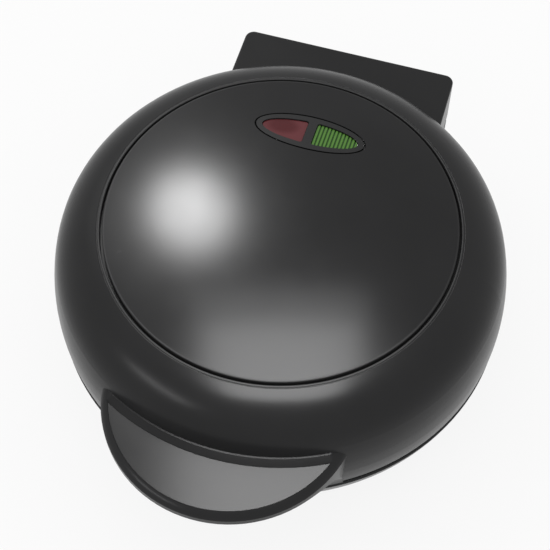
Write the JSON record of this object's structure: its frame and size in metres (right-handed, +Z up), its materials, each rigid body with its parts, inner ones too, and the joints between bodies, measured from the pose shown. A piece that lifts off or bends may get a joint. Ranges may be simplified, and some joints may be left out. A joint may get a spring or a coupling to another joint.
{
  "type": "donut maker",
  "caption": "Countertop donut maker: a domed lid with a visor handle and indicator lights swings on a rear hinge over a footed base with ring-shaped baking cups.",
  "frame": {"origin": "on the table, under the middle of the outline of the closed object", "axes": "+Y from the handle to the hinge, +Z up, +X to the right for someone at the handle"},
  "size_m": [0.212, 0.2592, 0.1017],
  "materials": {
    "housing": "satin moulded black",
    "red_lens": "clear tinted, smooth",
    "green_lens": "clear tinted, ribbed",
    "lamp_glass": "clear glass bulb",
    "holder": "natural moulded",
    "nonstick": "dark non-stick coating",
    "heater": "oxidised sheath",
    "ceramic": "unglazed ceramic",
    "terminal": "plain",
    "reflector": "rolled sheet",
    "screw": "zinc plated",
    "thermostat": "moulded",
    "fuse": "plated",
    "terminal_block": "moulded",
    "terminal_screw": "plain",
    "gland": "moulded",
    "foot": "matt",
    "pin": "turned",
    "bush": "turned",
    "lead": "glass-fibre sleeve"
  },
  "bodies": {
    "base": {"base_shell": "housing", "lower_plate": "nonstick", "lower_heater": "heater", "lower_heater_seals": "ceramic", "lower_heater_terminals": "terminal", "lower_reflector": "reflector", "lower_plate_screws": "screw", "thermostat": "thermostat", "thermostat_screws": "screw", "wiring_cover": "housing", "cover_screws": "screw", "terminal_block": "terminal_block", "terminal_screws": "terminal_screw", "cord_gland": "gland", "front_left_foot": "foot", "rear_left_foot": "foot", "front_right_foot": "foot", "rear_right_foot": "foot", "pivot_bush": "bush", "hinge_lead": "lead", "base_leads": "lead"},
    "lid": {"lid_shell": "housing", "top_panel": "housing", "indicator_bezel": "housing", "red_lens": "red_lens", "green_lens": "green_lens", "lamp_holder": "holder", "lamp_holder_screw": "screw", "red_lamp": "lamp_glass", "green_lamp": "lamp_glass", "upper_plate": "nonstick", "upper_heater": "heater", "upper_heater_seals": "ceramic", "upper_heater_terminals": "terminal", "upper_reflector": "reflector", "upper_plate_screws": "screw", "thermal_fuse": "fuse", "fuse_clip": "fuse", "fuse_clip_screws": "screw", "hinge_pin": "pin", "lid_lead": "lead", "lamp_leads": "lead"}
  },
  "joints": [
    {"name": "lid_hinge", "type": "hinge", "parent": "base", "child": "lid", "pos_m": [0, 0.12065, 0.048], "axis": [-1, 0, 0], "range_deg": [0, 95]}
  ]
}
